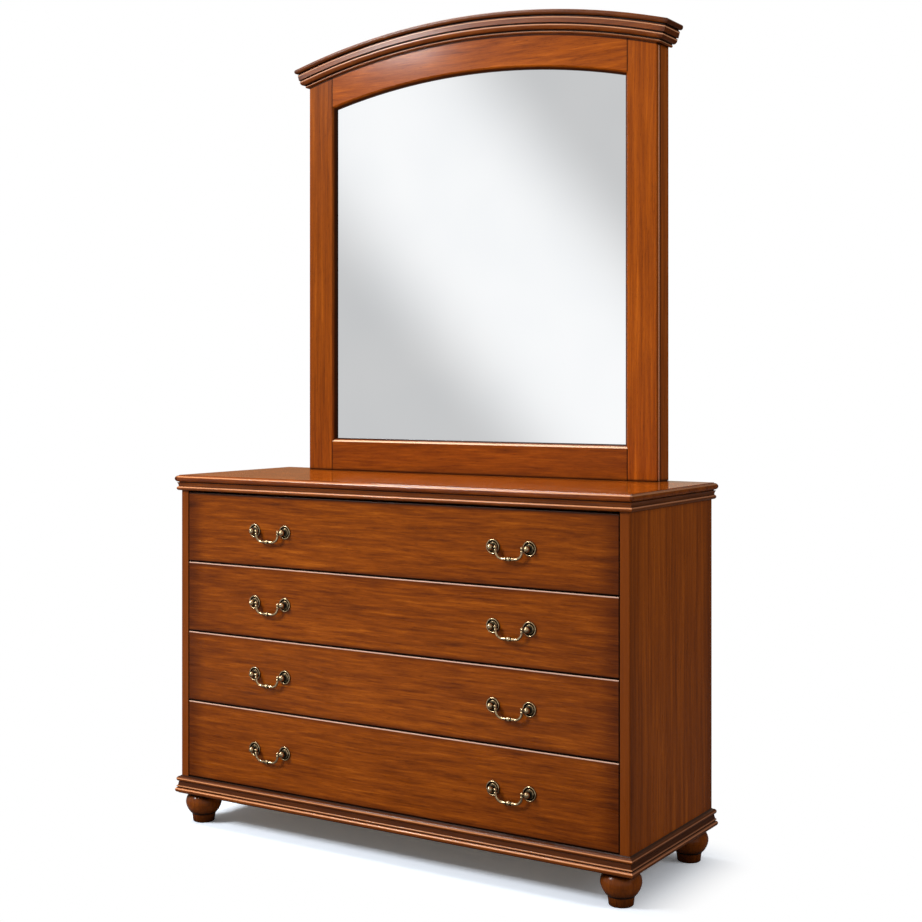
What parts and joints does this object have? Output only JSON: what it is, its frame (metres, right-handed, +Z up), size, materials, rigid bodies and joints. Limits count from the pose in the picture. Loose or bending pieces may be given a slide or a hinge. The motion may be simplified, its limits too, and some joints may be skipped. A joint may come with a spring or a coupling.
{
  "type": "dresser with mirror",
  "caption": "Wooden dresser on turned feet, with full-width drawers on bail handles and a fixed mirror in an arched, moulded frame on its top.",
  "frame": {"origin": "on the floor, midway between the left and right edges of the top board and midway between the handles' foremost point and the rearmost edge of the top board", "axes": "+X to the viewer's right as seen from the front, -Y towards the viewer, +Z up"},
  "size_m": [1.223, 0.4465, 1.9463],
  "materials": {
    "cherry": "cherry-stained wood under a satin clear coat",
    "plain_wood": "plain sanded wood",
    "hardboard": "thin brown board",
    "aged_brass": "antiqued brass with bright high spots and dark recesses",
    "mirror_glass": "silvered glass",
    "steel": "zinc-plated"
  },
  "bodies": {
    "root": {"side_panel_left": "cherry", "side_panel_right": "cherry", "top_board": "cherry", "top_moulding_front": "cherry", "top_moulding_back": "cherry", "top_moulding_left": "cherry", "top_moulding_right": "cherry", "base_moulding_front": "cherry", "base_moulding_back": "cherry", "base_moulding_left": "cherry", "base_moulding_right": "cherry", "bottom_panel": "plain_wood", "back_panel": "hardboard", "top_stretchers": "plain_wood", "base_rails": "plain_wood", "foot_blocks": "plain_wood", "feet": "cherry", "drawer_runners": "plain_wood", "mirror_stile_left": "cherry", "mirror_stile_right": "cherry", "mirror_bottom_rail": "cherry", "mirror_top_rail": "cherry", "mirror_return_left": "cherry", "mirror_return_right": "cherry", "mirror_base_board": "cherry", "mirror_glass": "mirror_glass", "mirror_backing": "hardboard", "mirror_clips": "steel", "mirror_bolts": "steel", "mirror_cornice_base": "cherry", "mirror_cornice_fascia": "cherry", "mirror_cornice_cap": "cherry"},
    "drawer_1": {"drawer_1_front": "cherry", "drawer_1_sides": "plain_wood", "drawer_1_back": "plain_wood", "drawer_1_bottom": "plain_wood", "drawer_1_handle_posts": "aged_brass"},
    "bail_1_left": {"bail_1_left": "aged_brass"},
    "bail_1_right": {"bail_1_right": "aged_brass"},
    "drawer_2": {"drawer_2_front": "cherry", "drawer_2_sides": "plain_wood", "drawer_2_back": "plain_wood", "drawer_2_bottom": "plain_wood", "drawer_2_handle_posts": "aged_brass"},
    "bail_2_left": {"bail_2_left": "aged_brass"},
    "bail_2_right": {"bail_2_right": "aged_brass"},
    "drawer_3": {"drawer_3_front": "cherry", "drawer_3_sides": "plain_wood", "drawer_3_back": "plain_wood", "drawer_3_bottom": "plain_wood", "drawer_3_handle_posts": "aged_brass"},
    "bail_3_left": {"bail_3_left": "aged_brass"},
    "bail_3_right": {"bail_3_right": "aged_brass"},
    "drawer_4": {"drawer_4_front": "cherry", "drawer_4_sides": "plain_wood", "drawer_4_back": "plain_wood", "drawer_4_bottom": "plain_wood", "drawer_4_handle_posts": "aged_brass"},
    "bail_4_left": {"bail_4_left": "aged_brass"},
    "bail_4_right": {"bail_4_right": "aged_brass"}
  },
  "joints": [
    {"name": "drawer_1_slide", "type": "slide", "parent": "root", "child": "drawer_1", "axis": [0, -1, 0], "range_m": [0, 0.28]},
    {"name": "drawer_2_slide", "type": "slide", "parent": "root", "child": "drawer_2", "axis": [0, -1, 0], "range_m": [0, 0.28]},
    {"name": "drawer_3_slide", "type": "slide", "parent": "root", "child": "drawer_3", "axis": [0, -1, 0], "range_m": [0, 0.28]},
    {"name": "drawer_4_slide", "type": "slide", "parent": "root", "child": "drawer_4", "axis": [0, -1, 0], "range_m": [0, 0.28]},
    {"name": "bail_1_left_swing", "type": "hinge", "parent": "drawer_1", "child": "bail_1_left", "pos_m": [-0.325, -0.21505, 0.7164], "axis": [-1, 0, 0], "range_deg": [-12, 100]},
    {"name": "bail_1_right_swing", "type": "hinge", "parent": "drawer_1", "child": "bail_1_right", "pos_m": [0.325, -0.21505, 0.7164], "axis": [-1, 0, 0], "range_deg": [-12, 100]},
    {"name": "bail_2_left_swing", "type": "hinge", "parent": "drawer_2", "child": "bail_2_left", "pos_m": [-0.325, -0.21505, 0.549], "axis": [-1, 0, 0], "range_deg": [-12, 100]},
    {"name": "bail_2_right_swing", "type": "hinge", "parent": "drawer_2", "child": "bail_2_right", "pos_m": [0.325, -0.21505, 0.549], "axis": [-1, 0, 0], "range_deg": [-12, 100]},
    {"name": "bail_3_left_swing", "type": "hinge", "parent": "drawer_3", "child": "bail_3_left", "pos_m": [-0.325, -0.21505, 0.3816], "axis": [-1, 0, 0], "range_deg": [-12, 100]},
    {"name": "bail_3_right_swing", "type": "hinge", "parent": "drawer_3", "child": "bail_3_right", "pos_m": [0.325, -0.21505, 0.3816], "axis": [-1, 0, 0], "range_deg": [-12, 100]},
    {"name": "bail_4_left_swing", "type": "hinge", "parent": "drawer_4", "child": "bail_4_left", "pos_m": [-0.325, -0.21505, 0.2057], "axis": [-1, 0, 0], "range_deg": [-12, 100]},
    {"name": "bail_4_right_swing", "type": "hinge", "parent": "drawer_4", "child": "bail_4_right", "pos_m": [0.325, -0.21505, 0.2057], "axis": [-1, 0, 0], "range_deg": [-12, 100]}
  ]
}
